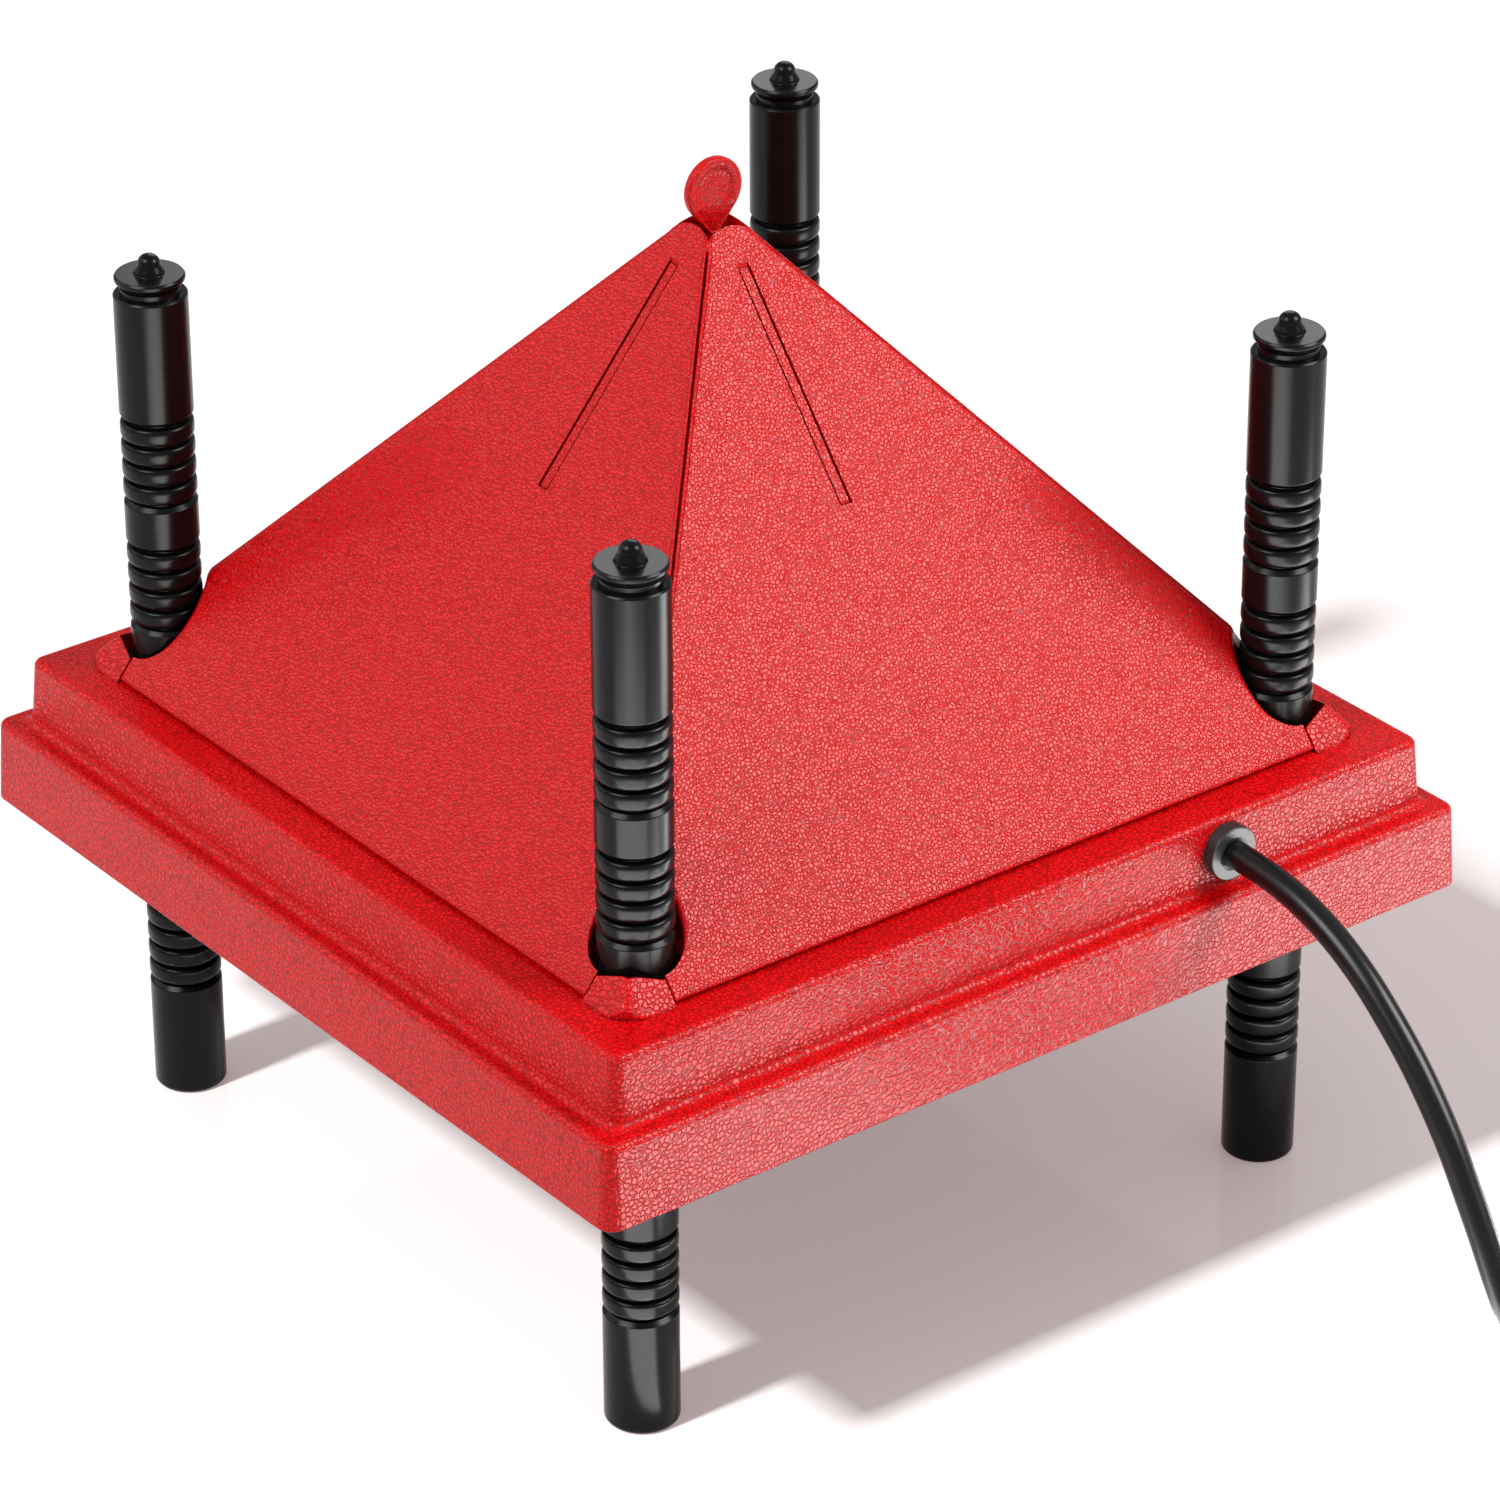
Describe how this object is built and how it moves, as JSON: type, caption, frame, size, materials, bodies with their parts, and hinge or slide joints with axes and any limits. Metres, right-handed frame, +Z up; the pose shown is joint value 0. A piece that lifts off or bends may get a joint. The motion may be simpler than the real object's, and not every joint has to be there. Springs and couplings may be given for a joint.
{
  "type": "chick brooder heating plate",
  "caption": "Square heated brooder plate for chicks on ribbed height-setting legs, with a pyramid anti-roost cover and a mains lead.",
  "frame": {"origin": "centre of the plate, on the floor that the legs stand on", "axes": "+Z up; -Y is the wall that the lead leaves; -X, -Y is the corner nearest the viewer"},
  "size_m": [0.3955, 0.5499, 0.3035],
  "materials": {
    "red_plastic": "fine moulded grain",
    "black_plastic": "gloss",
    "pan_plastic": "satin",
    "black_rubber": "satin",
    "cord_sheath": "gloss",
    "steel": "zinc plated",
    "aluminium": "mill finish",
    "silicone": "matte",
    "trace": "etched foil",
    "wool": "matte",
    "white_plastic": "matte",
    "wire": "satin",
    "wire_blue": "satin",
    "wire_green": "satin",
    "brass": "satin"
  },
  "bodies": {
    "plate": {"housing": "red_plastic", "base_pan": "pan_plastic", "base_screws": "steel", "heat_spreader": "aluminium", "heater_mat": "silicone", "heater_trace": "trace", "insulation_pad": "wool", "thermostat": "white_plastic", "thermal_fuse": "steel", "terminal_block": "white_plastic", "cord_cores": "wire", "lead_live": "wire", "lead_link": "wire", "lead_feed": "wire", "lead_neutral": "wire_blue", "lead_earth": "wire_green", "cord_grommet": "black_rubber", "cord_clamp": "pan_plastic", "clamp_screws": "steel", "mains_cord": "cord_sheath", "cord_coil": "cord_sheath", "cord_tie": "black_plastic", "plug_body": "cord_sheath", "plug_pins": "brass", "catch_front": "pan_plastic", "catch_right": "pan_plastic", "catch_back": "pan_plastic", "catch_left": "pan_plastic"},
    "leg_front": {"leg_front": "black_plastic", "cap_front": "black_plastic", "foot_front": "black_rubber"},
    "leg_right": {"leg_right": "black_plastic", "cap_right": "black_plastic", "foot_right": "black_rubber"},
    "leg_back": {"leg_back": "black_plastic", "cap_back": "black_plastic", "foot_back": "black_rubber"},
    "leg_left": {"leg_left": "black_plastic", "cap_left": "black_plastic", "foot_left": "black_rubber"},
    "cover": {"panel_right": "red_plastic", "panel_back_right": "red_plastic", "panel_back_left": "red_plastic", "panel_left": "red_plastic", "hip_splines": "red_plastic", "apex_clip": "red_plastic"}
  },
  "joints": [
    {"name": "leg_front_slide", "type": "slide", "parent": "plate", "child": "leg_front", "axis": [0, 0, 1], "range_m": [-0.0904, 0.0904], "deforming": ["catch_front"]},
    {"name": "leg_right_slide", "type": "slide", "parent": "plate", "child": "leg_right", "axis": [0, 0, 1], "range_m": [-0.0904, 0.0904], "deforming": ["catch_right"]},
    {"name": "leg_back_slide", "type": "slide", "parent": "plate", "child": "leg_back", "axis": [0, 0, 1], "range_m": [-0.0904, 0.0904], "deforming": ["catch_back"]},
    {"name": "leg_left_slide", "type": "slide", "parent": "plate", "child": "leg_left", "axis": [0, 0, 1], "range_m": [-0.0904, 0.0904], "deforming": ["catch_left"]},
    {"name": "cover_lift", "type": "slide", "parent": "plate", "child": "cover", "axis": [0, 0, 1], "range_m": [0, 0.15]}
  ]
}
